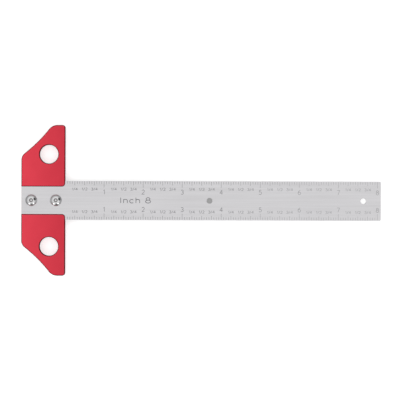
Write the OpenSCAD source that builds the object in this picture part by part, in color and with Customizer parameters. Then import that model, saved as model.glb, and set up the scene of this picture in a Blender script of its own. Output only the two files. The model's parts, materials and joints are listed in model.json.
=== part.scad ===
// Small fixed T-square. A flat steel blade lies in a channel across an aluminium head, its
// shoulders square against the head's working face, and two button-head screws hold it there.
//
// The origin is the zero of the scale: x = 0 is the working face, which slides along the edge of
// the board, y = 0 is the centre line of the blade, and z = 0 is the underside of the blade,
// which lies on the drawing. The head hangs below that plane.

/* [Blade] */
// Width of the blade
blade_w = 25.4; // [25:0.2:40]
// Length of the blade beyond the working face
blade_reach = 205.4; // [150:0.2:320]
// Thickness of the blade
blade_t = 1.2; // [0.8:0.1:1.8]
// Radius of the blade's two outer corners
tip_r = 0.5; // [0.2:0.1:4]
// Distance of the centre hole from the working face
centre_hole_x = 94; // [40:1:110]
// Diameter of the centre hole
centre_hole_d = 3.8; // [2:0.1:6]
// Distance of the hanging hole from the blade's end
hang_hole_inset = 11.4; // [8:0.2:20]
// Diameter of the hanging hole
hang_hole_d = 3.6; // [2:0.1:6]

/* [Head] */
// Width of the head, from its working face to its back edge
head_w = 28.4; // [26:0.2:36]
// Length of the head along the working face
head_len = 98; // [94:1:130]
// Depth of the working face below the blade
face_drop = 4; // [3:0.5:8]
// Height of the head's rims above the channel floor
rim_h = 2; // [1.2:0.1:3]
// Width of the channel that the blade lies in
channel_w = 18; // [14:0.2:19]
// Radius of the channel's corners at the working face
mouth_r = 2; // [1:0.1:2.5]
// Reach of each slanted side along both edges of the head
slant = 20; // [14:0.5:20]
// Radius of the slanted side's hollow curve
hollow_r = 95; // [60:5:200]
// Radius between a slanted side and the back edge
back_r = 5.5; // [3:0.5:6]
// Radius between a slanted side and the end of the head
end_r = 7; // [3:0.5:7]
// Radius of the head's corners at the working face
corner_r = 1.7; // [1:0.1:2]
// Width of the bevel round the head's faces and holes
bevel = 0.4; // [0.1:0.1:0.6]

/* [Finger holes] */
// Diameter of the two finger holes
finger_hole_d = 12.2; // [8:0.2:13]
// Distance of the finger holes from the working face
finger_hole_x = 10.5; // [9:0.5:12]
// Distance of each finger hole from its end of the head
finger_hole_inset = 19; // [18:0.5:24]

/* [Screws] */
// Nominal diameter of the screws
screw_d = 4; // [3:0.5:5]
// Pitch of the screws' thread
thread_pitch = 0.7; // [0.5:0.1:0.8]
// Diameter of the screw heads
screw_head_d = 7.6; // [6:0.1:9]
// Height of the screw heads
screw_head_h = 2.2; // [1.8:0.1:2.8]
// Width across the flats of the hexagonal socket
socket_af = 2.5; // [2:0.5:3]
// Depth of the socket
socket_depth = 1.3; // [1:0.1:1.5]
// Distance of the front screw from the working face
screw_front_inset = 6; // [5:0.2:8]
// Distance of the rear screw from the back edge
screw_rear_inset = 6.4; // [5:0.2:8]

/* [Hidden] */
$fn = 96;

over = 1;                        // how far cutters run past the faces they cut
bevel_over = 0.2;                // the same for bevel cutters, which stay outside their arc's centre
lap = 0.5;                       // how far bevel cutters run past the ends of the edges they follow
graze = 0.002;                   // how far tangent arcs overlap, so that rounding opens no step
fit_gap = 0.05;                  // gap between the blade and the head all round
shank_gap = 0.15;                // gap between a screw and its hole in the blade
thread_gap = 0.05;               // gap between a screw's thread and its tapped hole
tip_gap = 0.2;                   // from the screw's end to the back of the head
screw_rim = 0.3;                 // height of the upright rim of a screw head

half_len = head_len / 2;
half_channel = channel_w / 2;
head_top = rim_h;
head_back = -face_drop;
hang_hole_x = blade_reach - hang_hole_inset;
screw_front_x = -screw_front_inset;
screw_rear_x = screw_rear_inset - head_w;
shank_len = blade_t + face_drop - tip_gap;

// A slanted side is the arc through these two points, where it would meet the straight edges.
slant_low = [-head_w, half_len - slant];
slant_high = [slant - head_w, half_len];
hollow_rise = sqrt(hollow_r ^ 2 - slant ^ 2 / 2) / sqrt(2);
hollow_c = (slant_low + slant_high) / 2 + [-hollow_rise, hollow_rise];

// Centres of the two round blends, each tangent to a straight edge and to the hollow arc.
back_cx = back_r - head_w;
back_c = [back_cx, hollow_c.y - other_leg(hollow_r + back_r - graze, back_cx - hollow_c.x)];
end_cy = half_len - end_r;
end_c = [hollow_c.x + other_leg(hollow_r + end_r - graze, end_cy - hollow_c.y), end_cy];
back_turn = direction(back_c, hollow_c);
end_turn = direction(end_c, hollow_c);
corner_c = [-corner_r, half_len - corner_r];
mouth_c = [-mouth_r, half_channel + mouth_r];

// Straight edges of one half of the head, each with the metal on its left.
side_lines = [[[-corner_r, half_len], [end_c.x, half_len]]];
rim_lines = concat(side_lines, [
    [[-head_w - over, half_channel], [-mouth_r, half_channel]],
    [[0, mouth_c.y], [0, corner_c.y]],
    [[-head_w, back_c.y], [-head_w, half_channel - over]],
]);
// Round edges of one half of the head: centre, radius, the angle at a straight edge, the other.
side_arcs = [
    [corner_c, corner_r, 0, 90],
    [end_c, end_r, 90, end_turn],
    [back_c, back_r, 180, back_turn],
];
rim_arcs = concat(side_arcs, [[mouth_c, mouth_r, -90, 0]]);

function other_leg(hypotenuse, leg) = sqrt(hypotenuse ^ 2 - leg ^ 2);
function direction(a, b) = atan2(b.y - a.y, b.x - a.x);
function along(c, r, angle) = c + r * [cos(angle), sin(angle)];

// Triangle that takes a bevel off an edge at distance r; side is 1 for metal inside r, -1 outside.
function bevel_profile(r, side) = [
    [r - side * (bevel + bevel_over), bevel_over],
    [r + side * bevel_over, bevel_over],
    [r + side * bevel_over, -bevel - bevel_over],
];

module both_halves() {
    children();
    mirror([0, 1, 0]) children();
}

// Corner outside a tangent arc, between the two radii where the arc begins and ends.
module corner_waste(c, r, from, to) {
    reach = r + over;
    difference() {
        polygon([c, along(c, reach, from),
            along(c, reach / cos((to - from) / 2), (from + to) / 2), along(c, reach, to)]);
        translate(c) circle(r);
    }
}

module half_waste() {
    translate(hollow_c) circle(hollow_r, $fn = 720);
    for (arc = side_arcs) corner_waste(arc[0], arc[1], arc[2], arc[3]);
}

module head_outline() {
    difference() {
        translate([-head_w, -half_len]) square([head_w, head_len]);
        both_halves() half_waste();
    }
}

module channel_outline() {
    translate([-head_w - over, -half_channel]) square([head_w + 2 * over, channel_w]);
    both_halves() corner_waste(mouth_c, mouth_r, -90, 0);
}

module line_bevel(line) {
    length = norm(line[1] - line[0]) + 2 * lap;
    translate(line[0]) rotate(direction(line[0], line[1])) translate([-lap, 0, 0])
        rotate([90, 0, 90]) linear_extrude(length) mirror([1, 0]) polygon(bevel_profile(0, 1));
}

module arc_bevel(arc) {
    translate(arc[0]) rotate(arc[2]) rotate_extrude(angle = arc[3] - arc[2])
        polygon(bevel_profile(arc[1], 1));
}

module hollow_bevel() {
    translate(hollow_c) rotate_extrude($fn = 720) polygon(bevel_profile(hollow_r, -1));
}

// Bevels of the upper faces, which the channel parts.
module rim_bevels() {
    both_halves() {
        for (line = rim_lines) line_bevel(line);
        for (arc = rim_arcs) arc_bevel(arc);
        hollow_bevel();
    }
}

// Bevels of the back face, whose two long edges run the whole length of the head.
module back_bevels() {
    line_bevel([[0, -corner_c.y], [0, corner_c.y]]);
    line_bevel([[-head_w, back_c.y], [-head_w, -back_c.y]]);
    both_halves() {
        for (line = side_lines) line_bevel(line);
        for (arc = side_arcs) arc_bevel(arc);
        hollow_bevel();
    }
}

// A drilled hole with a small countersink at each face.
module finger_hole() {
    r = finger_hole_d / 2;
    translate([0, 0, head_back - over]) cylinder(h = head_top - head_back + 2 * over, r = r);
    translate([0, 0, head_top - bevel]) cylinder(h = bevel + over, r1 = r, r2 = r + bevel + over);
    translate([0, 0, head_back - over]) cylinder(h = bevel + over, r1 = r + bevel + over, r2 = r);
}

module tapped_hole() {
    translate([0, 0, head_back - over])
        cylinder(h = face_drop + 2 * over, r = screw_d / 2);
}

module head() {
    color([0.80, 0.10, 0.16]) difference() {
        translate([0, 0, head_back]) linear_extrude(head_top - head_back) head_outline();
        linear_extrude(head_top + over) channel_outline();
        translate([0, 0, head_top]) rim_bevels();
        translate([0, 0, head_back]) mirror([0, 0, 1]) back_bevels();
        both_halves() translate([-finger_hole_x, half_len - finger_hole_inset]) finger_hole();
        for (x = [screw_front_x, screw_rear_x]) translate([x, 0]) tapped_hole();
    }
}

// What the head takes away beside the tongue: its rim, grown by the gap between the two.
module rim_clearance() {
    y = half_channel - fit_gap;
    beyond = blade_w / 2 + over;
    translate([-head_w - over, y]) square([head_w + over - mouth_r, beyond - y]);
    translate([-mouth_r, mouth_c.y]) square([mouth_r + fit_gap, beyond - mouth_c.y]);
    translate(mouth_c) circle(mouth_r + fit_gap);
}

module blade_outline() {
    difference() {
        translate([-head_w, -blade_w / 2]) square([head_w + blade_reach, blade_w]);
        both_halves() rim_clearance();
        both_halves() corner_waste([blade_reach - tip_r, blade_w / 2 - tip_r], tip_r, 0, 90);
        for (x = [screw_front_x, screw_rear_x]) translate([x, 0]) circle(screw_d / 2 + shank_gap);
        translate([centre_hole_x, 0]) circle(centre_hole_d / 2);
        translate([hang_hole_x, 0]) circle(hang_hole_d / 2);
    }
}

module blade() {
    color([0.80, 0.80, 0.82]) linear_extrude(blade_t) blade_outline();
}

// Half sections of the screw's two ends. The dome meets a short upright rim.
module dome_section() {
    head_r = screw_head_d / 2;
    crown = screw_head_h - screw_rim;
    dome_r = (head_r ^ 2 + crown ^ 2) / (2 * crown);
    intersection() {
        translate([0, screw_head_h - dome_r]) circle(dome_r);
        square([head_r, screw_head_h]);
    }
}

// The thread is a row of ridges, one to each turn.
module thread_section() {
    crest = screw_d / 2 - thread_gap;
    root = crest - 0.54 * thread_pitch;
    point = 0.3;
    turns = floor((shank_len - point) / thread_pitch) - 1;
    polygon(concat(
        [[0, screw_rim], [root, screw_rim]],
        [for (turn = [1:turns]) each [
            [root, -thread_pitch * (turn - 0.35)],
            [crest, -thread_pitch * (turn - 0.05)],
            [crest, -thread_pitch * (turn + 0.05)],
            [root, -thread_pitch * (turn + 0.35)],
        ]],
        [[root, point - shank_len], [root - point, -shank_len], [0, -shank_len]]
    ));
}

// A hexagonal socket over the point left by its drill, which laps a little up into it.
module hex_socket() {
    drill_point = 0.4;
    drill_lap = 0.1;
    socket_floor = screw_head_h - socket_depth;
    translate([0, 0, socket_floor])
        cylinder(h = socket_depth + over, r = socket_af / sqrt(3), $fn = 6);
    translate([0, 0, socket_floor - drill_point])
        cylinder(h = drill_point + drill_lap, r1 = 0, r2 = socket_af / 2);
}

module screw() {
    color([0.86, 0.86, 0.87]) difference() {
        union() {
            rotate_extrude() dome_section();
            rotate_extrude() thread_section();
        }
        hex_socket();
    }
}

module screw_front() {
    translate([screw_front_x, 0, blade_t]) screw();
}

module screw_rear() {
    translate([screw_rear_x, 0, blade_t]) rotate(24) screw();
}

head();
blade();
screw_front();
screw_rear();
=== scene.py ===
"""Looks of the small fixed T-square: materials, the marks on its blade, floor, light and camera.

Lengths are in millimetres unless a comment says otherwise, and MM turns them into Blender's metres.
"""

import json
import math

import bpy
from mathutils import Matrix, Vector


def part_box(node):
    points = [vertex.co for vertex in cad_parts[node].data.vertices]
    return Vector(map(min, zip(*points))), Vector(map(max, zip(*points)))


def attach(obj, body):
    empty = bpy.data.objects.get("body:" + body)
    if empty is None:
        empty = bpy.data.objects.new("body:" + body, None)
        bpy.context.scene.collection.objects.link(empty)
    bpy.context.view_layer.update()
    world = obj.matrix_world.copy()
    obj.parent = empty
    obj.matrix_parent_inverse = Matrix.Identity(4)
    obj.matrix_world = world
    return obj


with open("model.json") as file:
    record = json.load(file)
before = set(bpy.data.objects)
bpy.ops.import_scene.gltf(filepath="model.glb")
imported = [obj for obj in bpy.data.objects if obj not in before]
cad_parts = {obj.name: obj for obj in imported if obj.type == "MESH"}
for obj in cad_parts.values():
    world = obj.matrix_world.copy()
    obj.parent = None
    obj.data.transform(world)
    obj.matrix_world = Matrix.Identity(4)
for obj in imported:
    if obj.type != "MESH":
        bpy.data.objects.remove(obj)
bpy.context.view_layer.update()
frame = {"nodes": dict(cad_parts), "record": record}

MM = 0.001
INCH = 25.4

head_low, head_high = (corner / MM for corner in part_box("head"))
blade_low, blade_high = (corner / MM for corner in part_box("blade"))


# ---------------------------------------------------------------- camera

VIEW_CENTRE = (87.8, 0.5)       # the point of the blade's face that the camera looks down on
VIEW_WIDTH = 260.2              # how much of the blade's face the view takes in
CAMERA_HEIGHT = 1500            # above the blade's face
CAMERA_ROLL = 0.183             # degrees
SENSOR_WIDTH = 36
CLIP_NEAR, CLIP_FAR = 10, 20000


def make_camera():
    data = bpy.data.cameras.new("camera")
    data.sensor_width = SENSOR_WIDTH
    data.lens = SENSOR_WIDTH * CAMERA_HEIGHT / VIEW_WIDTH
    data.clip_start = CLIP_NEAR * MM
    data.clip_end = CLIP_FAR * MM
    camera = bpy.data.objects.new("camera", data)
    camera.location = Vector((*VIEW_CENTRE, blade_high.z + CAMERA_HEIGHT)) * MM
    camera.rotation_euler = (0, 0, math.radians(CAMERA_ROLL))
    bpy.context.scene.collection.objects.link(camera)
    bpy.context.scene.camera = camera


# ---------------------------------------------------------------- node helpers

BLACK, WHITE = (0.0, 0.0, 0.0), (1.0, 1.0, 1.0)
USUAL_NOISE = (0.3, 0.7)        # where most of a noise's values lie
# Upright part of the normal where a surface starts and ends to count as leaning, off a face or a wall.
FACE_LEAN, WALL_LEAN = (0.97, 0.85), (0.25, 0.50)


def add_node(tree, kind, inputs=(), **settings):
    """Adds a node, sets its properties, and sets or links its inputs, which are given by name."""
    node = tree.nodes.new(kind)
    for name, value in settings.items():
        setattr(node, name, value)
    for name, value in dict(inputs).items():
        if isinstance(value, bpy.types.NodeSocket):
            tree.links.new(value, node.inputs[name])
        else:
            node.inputs[name].default_value = value
    return node


def math_node(tree, operation, first, second=0.0, third=0.0):
    inputs = {0: first, 1: second, 2: third}
    return add_node(tree, "ShaderNodeMath", inputs, operation=operation).outputs[0]


def place_axes(tree):
    """X, Y and Z of the shaded point in the object's own frame, in metres."""
    place = add_node(tree, "ShaderNodeTexCoord").outputs["Object"]
    return add_node(tree, "ShaderNodeSeparateXYZ", {0: place}).outputs


def distance_from_upright(tree, foot):
    """How far the shaded point is from an upright line through a point, in metres."""
    place = place_axes(tree)
    level = {"X": place["X"], "Y": place["Y"], "Z": foot.z}
    beside = add_node(tree, "ShaderNodeCombineXYZ", level).outputs[0]
    apart = add_node(tree, "ShaderNodeVectorMath", {0: beside, 1: foot}, operation="DISTANCE")
    return apart.outputs["Value"]


def leaning_share(tree):
    """1 on bevels, which lean halfway between level and upright, and 0 on faces and walls."""
    normal = add_node(tree, "ShaderNodeTexCoord").outputs["Normal"]
    rise = add_node(tree, "ShaderNodeSeparateXYZ", {0: normal}).outputs["Z"]
    steepness = math_node(tree, "ABSOLUTE", rise)
    below_face = map_range(tree, steepness, FACE_LEAN, (0, 1), smooth=True)
    above_wall = map_range(tree, steepness, WALL_LEAN, (0, 1), smooth=True)
    return math_node(tree, "MULTIPLY", below_face, above_wall)


def map_range(tree, value, source, target, smooth=False):
    inputs = {"Value": value, "From Min": source[0], "From Max": source[1]}
    inputs |= {"To Min": target[0], "To Max": target[1]}
    kind = "SMOOTHSTEP" if smooth else "LINEAR"
    return add_node(tree, "ShaderNodeMapRange", inputs, interpolation_type=kind).outputs["Result"]


def draw_towards(tree, value, level, share):
    """A value drawn towards a level by a share from 0 to 1."""
    change = math_node(tree, "MULTIPLY", math_node(tree, "SUBTRACT", level, value), share)
    return math_node(tree, "ADD", value, change)


def mix_colours(tree, factor, first, second):
    node = add_node(tree, "ShaderNodeMix", {"Factor": factor}, data_type="RGBA")
    for socket, value in ((node.inputs[6], first), (node.inputs[7], second)):
        if isinstance(value, bpy.types.NodeSocket):
            tree.links.new(value, socket)
        else:
            socket.default_value = (*value, 1)
    return node.outputs[2]


def noise(tree, periods, detail=2.0):
    """Noise from 0 to 1 in the object's own frame; periods are its grain along X, Y and Z."""
    place = add_node(tree, "ShaderNodeTexCoord").outputs["Object"]
    scale = [1 / (period * MM) for period in periods]
    moved = add_node(tree, "ShaderNodeMapping", {"Vector": place, "Scale": scale})
    inputs = {"Vector": moved.outputs[0], "Scale": 1.0, "Detail": detail}
    return add_node(tree, "ShaderNodeTexNoise", inputs).outputs[0]


def bump(tree, heights):
    """A normal from a list of (height socket, depth in millimetres)."""
    normal = None
    for height, depth in heights:
        inputs = {"Height": height, "Distance": depth * MM, "Strength": 1.0}
        if normal:
            inputs["Normal"] = normal
        normal = add_node(tree, "ShaderNodeBump", inputs).outputs[0]
    return normal


def new_material(name, **uniform):
    """A material with its shader; uniform values go straight onto the shader's own sockets."""
    material = bpy.data.materials.new(name)
    material.use_nodes = True
    tree = material.node_tree
    shader = tree.nodes["Principled BSDF"]
    for socket, value in uniform.items():
        shader.inputs[socket.replace("_", " ")].default_value = value
    return material, tree, shader


def dress(tree, shader, colour, roughness, normal):
    for socket, value in (("Base Color", colour), ("Roughness", roughness), ("Normal", normal)):
        tree.links.new(value, shader.inputs[socket])


# ---------------------------------------------------------------- the part's materials

SOCKET_R = 1.35                 # of the screws' hexagon sockets, halfway from flat to corner
SOCKET_SHADE_OUTSIDE = (1.12, 0.92)    # where the painted shade in a socket fades in from its rim, as shares of SOCKET_R
SOCKET_SHADE_INSIDE = (0.25, 0.50)     # where the painted shade fades in from its middle
WEAR_START, WEAR_END = 75, 165  # between which the marks on the blade grow fainter, in X
WEAR_MOST = 0.7


def brushed_steel():
    """Stainless strip, ground lengthwise: fine lines along X, with broader bands between them."""
    material, tree, shader = new_material("brushed_steel", Metallic=1.0)
    grain = noise(tree, (9, 0.10, 0.10), detail=3)
    bands = noise(tree, (60, 1.3, 1.3))
    clouds = noise(tree, (34, 16, 16))
    dark, light = (0.605, 0.598, 0.612), (0.665, 0.658, 0.675)
    # cloudy is random tone; edge is painted dark reflection, laid on the blade's rounded edges
    cloudy, edge = (0.68, 0.67, 0.68), (0.22, 0.22, 0.23)
    banded = mix_colours(tree, map_range(tree, bands, USUAL_NOISE, (0, 1)), dark, light)
    face = mix_colours(tree, map_range(tree, clouds, USUAL_NOISE, (0, 0.35)), banded, cloudy)
    colour = mix_colours(tree, leaning_share(tree), face, edge)
    roughness = map_range(tree, grain, (0.25, 0.75), (0.26, 0.40))
    dress(tree, shader, colour, roughness, bump(tree, [(grain, 0.004), (bands, 0.004)]))
    return material


def anodised_red():
    """Satin red anodising over a fine blasted surface, with painted light that makes it paler towards the
    back and painted dark reflections on the bevels.
    """
    material, tree, shader = new_material("anodised_red", Metallic=0.88)
    blast = noise(tree, (0.16, 0.16, 0.16), detail=3)
    dye = noise(tree, (11, 11, 11), detail=3)
    milling = noise(tree, (0.5, 24, 0.5))
    back_to_front = (head_low.x * MM, head_high.x * MM)
    # painted light: the colour is made paler towards the back of the head, on top of the random dye tone
    painted_light_to_back = map_range(tree, place_axes(tree)["X"], back_to_front, (1.0, 0.0))
    dye_and_painted_light = math_node(tree, "MULTIPLY_ADD", dye, 0.45, math_node(tree, "MULTIPLY", painted_light_to_back, 0.75))
    # the third colour is painted dark reflection, laid on the bevels
    deep, pale, painted_dark_bevel = (0.615, 0.038, 0.061), (0.770, 0.057, 0.086), (0.140, 0.006, 0.012)
    face = mix_colours(tree, map_range(tree, dye_and_painted_light, (0.2, 1.0), (0, 1)), deep, pale)
    colour = mix_colours(tree, leaning_share(tree), face, painted_dark_bevel)
    roughness = map_range(tree, blast, USUAL_NOISE, (0.34, 0.46))
    dress(tree, shader, colour, roughness, bump(tree, [(blast, 0.008), (milling, 0.003)]))
    return material


def socket_radii(shares):
    """Radii given as shares of the socket's own, in metres."""
    return [SOCKET_R * share * MM for share in shares]


def polished_steel(name):
    """A bright screw with a few fine handling marks, and a ring of painted shade in its socket."""
    material, tree, shader = new_material(f"polished_steel_{name}", Metallic=1.0)
    haze = noise(tree, (1.4, 1.4, 1.4), detail=3)
    scratches = noise(tree, (0.9, 0.05, 0.4), detail=2)
    dull, bright, socket_shade = (0.70, 0.70, 0.71), (0.78, 0.78, 0.79), (0.24, 0.23, 0.23)
    low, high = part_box(name)
    centre = frame["nodes"][name].matrix_world.inverted() @ ((Vector(low) + Vector(high)) / 2)
    radius = distance_from_upright(tree, centre)
    from_rim = map_range(tree, radius, socket_radii(SOCKET_SHADE_OUTSIDE), (0, 1), smooth=True)
    from_middle = map_range(tree, radius, socket_radii(SOCKET_SHADE_INSIDE), (0, 1), smooth=True)
    # painted shade: a ring darkened inside the socket's mouth, fading out towards its middle
    ring = math_node(tree, "MULTIPLY", from_rim, from_middle)
    colour = mix_colours(tree, ring, mix_colours(tree, haze, dull, bright), socket_shade)
    roughness = map_range(tree, haze, USUAL_NOISE, (0.07, 0.14))
    dress(tree, shader, colour, roughness, bump(tree, [(scratches, 0.0006)]))
    return material


def etched_mark():
    """Dark, oxidised etched line, a little uneven and fainter towards the blade's tip."""
    material, tree, shader = new_material("etched_mark", Metallic=0.0)
    fleck = noise(tree, (0.30, 0.30, 0.30), detail=3)
    dark, light, worn = (0.05, 0.05, 0.06), (0.10, 0.10, 0.11), (0.38, 0.38, 0.39)
    fresh = mix_colours(tree, map_range(tree, fleck, USUAL_NOISE, (0, 1)), dark, light)
    stretch = (WEAR_START * MM, WEAR_END * MM)
    wear = map_range(tree, place_axes(tree)["X"], stretch, (0, WEAR_MOST), smooth=True)
    colour = mix_colours(tree, wear, fresh, worn)
    roughness = map_range(tree, fleck, USUAL_NOISE, (0.50, 0.75))
    dress(tree, shader, colour, roughness, bump(tree, [(fleck, 0.004)]))
    return material


# ---------------------------------------------------------------- CAD nodes

WELD_DISTANCE = 0.002           # within which a mesh's corners are joined before its edges are rounded
SHARP_ANGLE = 25                # degrees, from which an edge is rounded
HEAD_ROUNDING, BLADE_ROUNDING, SCREW_ROUNDING = 0.08, 0.28, 0.06


def finish_node(name, material, edge):
    """Gives a CAD node its material and rounds its sharp edges by a hair."""
    node = frame["nodes"][name]
    node.data.materials.clear()
    node.data.materials.append(material)
    weld = node.modifiers.new("weld", "WELD")
    weld.merge_threshold = WELD_DISTANCE * MM
    rounding = node.modifiers.new("edge_rounding", "BEVEL")
    rounding.width = edge * MM
    rounding.segments = 2
    rounding.limit_method = "ANGLE"
    rounding.angle_limit = math.radians(SHARP_ANGLE)
    rounding.use_clamp_overlap = True
    normals = node.modifiers.new("even_normals", "WEIGHTED_NORMAL")
    normals.keep_sharp = False


# ---------------------------------------------------------------- strokes and letters

MITRE_LIMIT = 2.0               # how much wider than its line a corner may be
CLOSED_WITHIN = 1e-6            # a line whose ends are this close is a closed one


def arc(cx, cy, rx, ry, start, end, steps=12):
    """Points along an arc of an ellipse, from one angle to another, in degrees."""
    turn = [math.radians(start + (end - start) * i / steps) for i in range(steps + 1)]
    return [(cx + rx * math.cos(a), cy + ry * math.sin(a)) for a in turn]


# Each glyph is its width and its strokes, in a box one unit high.
GLYPHS = {
    "1": (0.34, [[(0.04, 0.78), (0.24, 1.0), (0.24, 0.0)]]),
    "2": (0.60, [arc(0.3, 0.71, 0.27, 0.29, 160, -38) + [(0.02, 0.0), (0.60, 0.0)]]),
    "3": (0.60, [arc(0.28, 0.76, 0.26, 0.24, 150, -90), arc(0.28, 0.26, 0.30, 0.26, 90, -150)]),
    "4": (0.62, [[(0.46, 0.0), (0.46, 1.0)], [(0.46, 1.0), (0.0, 0.30), (0.62, 0.30)]]),
    "5": (0.60, [[(0.55, 1.0), (0.10, 1.0), (0.06, 0.55)] + arc(0.27, 0.32, 0.31, 0.32, 120, -150)]),
    "6": (0.60, [
        arc(0.3, 0.31, 0.29, 0.31, 150, 510, 20),
        [(0.50, 1.0)] + arc(0.42, 0.40, 0.41, 0.50, 110, 190, 6),
    ]),
    "7": (0.58, [[(0.0, 1.0), (0.58, 1.0), (0.20, 0.0)]]),
    "8": (0.60, [arc(0.3, 0.77, 0.23, 0.23, -90, 270, 18), arc(0.3, 0.27, 0.29, 0.27, 90, 450, 20)]),
    "/": (0.40, [[(0.0, -0.06), (0.40, 1.06)]]),
    "I": (0.16, [[(0.03, 0.0), (0.03, 1.0)]]),
    "n": (0.55, [[(0.03, 0.0), (0.03, 0.68)], arc(0.25, 0.43, 0.22, 0.24, 180, 0) + [(0.47, 0.0)]]),
    "c": (0.55, [arc(0.27, 0.33, 0.25, 0.33, 48, 312, 14)]),
    "h": (0.50, [[(0.03, 0.0), (0.03, 1.0)], arc(0.25, 0.43, 0.22, 0.24, 180, 0) + [(0.47, 0.0)]]),
}
LETTER_GAP = 0.17


def text_strokes(text, x, y, height, stretch=1.0):
    """Strokes of a word centred on x, with its base line at y."""
    breadth = height * stretch
    strokes = []
    pen = x - (sum(GLYPHS[character][0] + LETTER_GAP for character in text) - LETTER_GAP) * breadth / 2
    for character in text:
        width, lines = GLYPHS[character]
        for line in lines:
            strokes.append([(pen + px * breadth, y + py * height) for px, py in line])
        pen += (width + LETTER_GAP) * breadth
    return strokes


def ribbon(points, width):
    """The left and right edge of a line of that width, mitred at its corners."""
    closed = math.dist(points[0], points[-1]) < CLOSED_WITHIN
    path = [Vector(p) for p in points]
    sides = []
    for i, point in enumerate(path):
        before = path[i - 1] if i else (path[-2] if closed else None)
        after = path[i + 1] if i + 1 < len(path) else (path[1] if closed else None)
        ways = [(point - before).normalized()] if before is not None else []
        ways += [(after - point).normalized()] if after is not None else []
        way = sum(ways, Vector((0, 0))).normalized()
        mitre = 1 / max(way.dot(ways[0]), 1 / MITRE_LIMIT)
        offset = Vector((-way.y, way.x)) * width / 2 * mitre
        sides.append((point + offset, point - offset))
    return sides


# ---------------------------------------------------------------- marks on the blade

MARK_RISE = 0.012               # how far a mark stands above the blade's face
MARK_STEP, MARK_LEVELS = 0.0015, 3      # strokes take turns at three heights, so crossing ones differ
MARK_DEPTH = 0.04               # how far a mark reaches into the blade
TICK_STROKE = 0.17              # width of a graduation
NUMERAL_STROKE = 0.26           # width of the inch numerals' lines
FRACTION_STROKE = 0.20
UNIT_STROKE = 0.36
EDGE_CLEARANCE = 0.30           # from the blade's edge to the start of a graduation
INCH_TICK, QUARTER_TICK, SHORT_TICK = 4.3, 2.8, 2.0     # from the blade's edge to their ends
TICKS = 16                      # to the inch
INCHES = 8
NUMERAL_HEIGHT, NUMERAL_ROWS = 2.8, (4.15, -7.2)        # height, and base lines of the two rows
FRACTION_HEIGHT, FRACTION_ROWS, FRACTION_STRETCH = 1.6, (6.6, -8.15), 1.3
UNIT_HEIGHT, UNIT_BASE, UNIT_STRETCH = 3.5, -1.6, 1.6
UNIT_X, UNIT_NUMERAL_X = 42.4, 54.0                     # middles of the unit's word and numeral


def mark_piece(name, strokes, material):
    """One mesh of thin closed strips, one to each stroke, let into the blade's upper face."""
    vertices, faces = [], []
    for number, (points, width) in enumerate(strokes):
        top = blade_high.z + MARK_RISE + MARK_STEP * (number % MARK_LEVELS)
        bottom = blade_high.z - MARK_DEPTH
        first = len(vertices)
        sides = ribbon(points, width)
        for left, right in sides:
            for x, y, z in ((*left, top), (*right, top), (*right, bottom), (*left, bottom)):
                vertices.append(Vector((x, y, z)) * MM)
        for i in range(len(sides) - 1):
            here, there = first + 4 * i, first + 4 * (i + 1)
            for j in range(4):
                k = (j + 1) % 4
                faces.append((here + k, here + j, there + j, there + k))
        last = first + 4 * (len(sides) - 1)
        faces.append((first, first + 1, first + 2, first + 3))
        faces.append((last + 3, last + 2, last + 1, last))
    mesh = bpy.data.meshes.new(name)
    mesh.from_pydata(vertices, [], faces)
    mesh.validate()
    mesh.materials.append(material)
    piece = bpy.data.objects.new(name, mesh)
    bpy.context.scene.collection.objects.link(piece)
    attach(piece, "root")


def graduations():
    """The marks along both edges of the blade: inches, quarters and sixteenths."""
    strokes = []
    for side in (1, -1):
        edge = side * (blade_high.y - EDGE_CLEARANCE)
        for i in range(1, INCHES * TICKS + 1):
            length = SHORT_TICK
            if i % (TICKS // 4) == 0:
                length = QUARTER_TICK
            if i % TICKS == 0:
                length = INCH_TICK
            x = i * INCH / TICKS
            strokes.append(([(x, edge), (x, side * (blade_high.y - length))], TICK_STROKE))
    return strokes


def numerals():
    strokes = []
    for base in NUMERAL_ROWS:
        for inch in range(1, INCHES + 1):
            for points in text_strokes(str(inch), inch * INCH, base, NUMERAL_HEIGHT):
                strokes.append((points, NUMERAL_STROKE))
    return strokes


def fractions():
    strokes = []
    for base in FRACTION_ROWS:
        for inch in range(INCHES):
            for quarter, text in ((1, "1/4"), (2, "1/2"), (3, "3/4")):
                x = (inch + quarter / 4) * INCH
                for points in text_strokes(text, x, base, FRACTION_HEIGHT, FRACTION_STRETCH):
                    strokes.append((points, FRACTION_STROKE))
    return strokes


def unit_text():
    """The scale's unit and its length, as plain words."""
    lines = text_strokes("Inch", UNIT_X, UNIT_BASE, UNIT_HEIGHT, UNIT_STRETCH)
    lines += text_strokes(str(INCHES), UNIT_NUMERAL_X, UNIT_BASE, UNIT_HEIGHT, UNIT_STRETCH)
    return [(points, UNIT_STROKE) for points in lines]


# ---------------------------------------------------------------- floor

FLOOR_SIZE = 6000
CONTACT_GAP = 0.02              # between the floor and what rests on it
HEAD_BEVEL = 0.4                # of the head's edges, as in the CAD source
FLOOR_GLOW = 0.58               # strength of the light that the floor itself sends to the camera
REFLECTED_FLOOR = (0.20, 0.20, 0.20)    # its colour for all but the camera
SHADE_INNER, SHADE_OUTER = 5, 9         # radii between which the painted shade under the blade fades out
SHADE_MOST = 0.55


def mount_place(name):
    """Where one of the part's mounts is, in metres."""
    return next(Vector(mount["pos_m"]) for mount in frame["record"]["mounts"] if mount["name"] == name)


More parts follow.
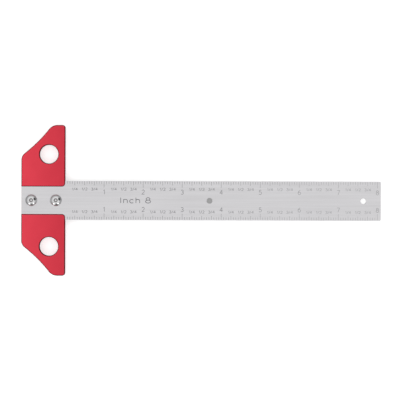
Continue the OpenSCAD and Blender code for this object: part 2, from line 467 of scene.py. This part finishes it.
def pale_floor():
    """White paper, dimmer in reflections, with a painted shade under the blade round its centre hole, in
    both its colour and its glow.
    """
    material, tree, shader = new_material("pale_floor", Metallic=0.0, IOR=1.2, Emission_Strength=FLOOR_GLOW)
    speck = noise(tree, (3, 3, 3), detail=3)
    paper = mix_colours(tree, speck, (0.64, 0.64, 0.64), (0.68, 0.68, 0.68))
    seen = add_node(tree, "ShaderNodeLightPath").outputs["Is Camera Ray"]
    from_hole = distance_from_upright(tree, mount_place("centre_hole"))
    fade = (SHADE_INNER * MM, SHADE_OUTER * MM)
    # painted shade: round the centre hole, under the blade, the paper's colour and its glow are darkened
    shade = map_range(tree, from_hole, fade, (SHADE_MOST, 0.0), smooth=True)
    colour = mix_colours(tree, seen, REFLECTED_FLOOR, mix_colours(tree, shade, paper, BLACK))
    glow = mix_colours(tree, seen, BLACK, mix_colours(tree, shade, WHITE, BLACK))
    tree.links.new(glow, shader.inputs["Emission Color"])
    roughness = map_range(tree, speck, (0, 1), (0.7, 0.9))
    dress(tree, shader, colour, roughness, bump(tree, [(speck, 0.01)]))
    return material


def make_floor():
    """A wide plane under the head's lower working edge and the blade's tip, on which it rests."""
    front = Vector((head_high.x - HEAD_BEVEL, head_low.z - CONTACT_GAP))
    tip = Vector((blade_high.x, blade_low.z - CONTACT_GAP))
    slope = (tip.y - front.y) / (tip.x - front.x)
    half = FLOOR_SIZE / 2
    corners = []
    for x, y in ((-half, -half), (half, -half), (half, half), (-half, half)):
        corners.append(Vector((x, y, front.y + slope * (x - front.x))) * MM)
    mesh = bpy.data.meshes.new("floor")
    mesh.from_pydata(corners, [], [(0, 1, 2, 3)])
    mesh.materials.append(pale_floor())
    floor = bpy.data.objects.new("floor", mesh)
    bpy.context.scene.collection.objects.link(floor)


# ---------------------------------------------------------------- lights and world

LIGHT_COUNT = 4
LIGHT_DISTANCE, LIGHT_SIZE = 1000, 500
LIGHT_START, LIGHT_ELEVATION = 45, 45   # degrees: the first one round from +X, and all above the horizon
LIGHT_POWER = 0.8                       # watts each
HORIZON_RADIANCE, OVERHEAD_RADIANCE = 0.42, 1.0
HORIZON_RISE, OVERHEAD_RISE = 0.10, 0.85    # sine of the angle above the horizon where each is reached
BACKDROP_RADIANCE = 1.05                # what the camera sees past the floor

# What the polished metal reflects: around, above, inner and outer half-angle in degrees, radiance.
ROOM_PATCHES = [
    (-120, 21, 4, 9, 4.0),
    (-55, 26, 4, 9, 4.0),
    (-84, 24, 9, 15, 0.08),
    (20, 30, 15, 25, 0.08),
]


def way_to(around, above):
    """The direction at an angle round from +X and an angle above the horizon, in degrees."""
    a, e = math.radians(around), math.radians(above)
    return (math.cos(e) * math.cos(a), math.cos(e) * math.sin(a), math.sin(e))


def make_lights():
    """Soft boxes all round the part, which light the floor and the marks."""
    centre = Vector(((head_low.x + blade_high.x) / 2, 0, 0)) * MM
    for number in range(LIGHT_COUNT):
        data = bpy.data.lights.new(f"soft_box_{number + 1}", "AREA")
        data.shape = "SQUARE"
        data.size = LIGHT_SIZE * MM
        data.energy = LIGHT_POWER
        box = bpy.data.objects.new(data.name, data)
        away = Vector(way_to(LIGHT_START + 360 / LIGHT_COUNT * number, LIGHT_ELEVATION))
        box.location = centre + away * LIGHT_DISTANCE * MM
        box.rotation_euler = away.to_track_quat("Z", "Y").to_euler()
        box.visible_glossy = False
        bpy.context.scene.collection.objects.link(box)


def make_world():
    """A soft studio: bright overhead, dimmer walls, two windows and two dark flags."""
    world = bpy.data.worlds.new("studio")
    world.use_nodes = True
    tree = world.node_tree
    tree.nodes.clear()
    way = add_node(tree, "ShaderNodeTexCoord").outputs["Generated"]
    rise = add_node(tree, "ShaderNodeSeparateXYZ", {0: way}).outputs["Z"]
    rises, levels = (HORIZON_RISE, OVERHEAD_RISE), (HORIZON_RADIANCE, OVERHEAD_RADIANCE)
    radiance = map_range(tree, rise, rises, levels, smooth=True)
    for around, above, inner, outer, level in ROOM_PATCHES:
        ways = {0: way, 1: way_to(around, above)}
        dot = add_node(tree, "ShaderNodeVectorMath", ways, operation="DOT_PRODUCT")
        limits = (math.cos(math.radians(outer)), math.cos(math.radians(inner)))
        share = map_range(tree, dot.outputs["Value"], limits, (0, 1), smooth=True)
        radiance = draw_towards(tree, radiance, level, share)
    seen = add_node(tree, "ShaderNodeLightPath").outputs["Is Camera Ray"]
    strength = draw_towards(tree, radiance, BACKDROP_RADIANCE, seen)
    background = add_node(tree, "ShaderNodeBackground", {"Color": (*WHITE, 1), "Strength": strength})
    output = add_node(tree, "ShaderNodeOutputWorld")
    tree.links.new(background.outputs[0], output.inputs["Surface"])
    bpy.context.scene.world = world


def set_colours():
    view = bpy.context.scene.view_settings
    view.view_transform = "Standard"
    view.look = "None"


# ---------------------------------------------------------------- making

set_colours()
make_camera()
finish_node("head", anodised_red(), HEAD_ROUNDING)
finish_node("blade", brushed_steel(), BLADE_ROUNDING)
for screw in ("screw_front", "screw_rear"):
    finish_node(screw, polished_steel(screw), SCREW_ROUNDING)

ink = etched_mark()
mark_piece("graduations", graduations(), ink)
mark_piece("inch_numerals", numerals(), ink)
mark_piece("fraction_labels", fractions(), ink)
mark_piece("unit_text", unit_text(), ink)

make_floor()
make_lights()
make_world()
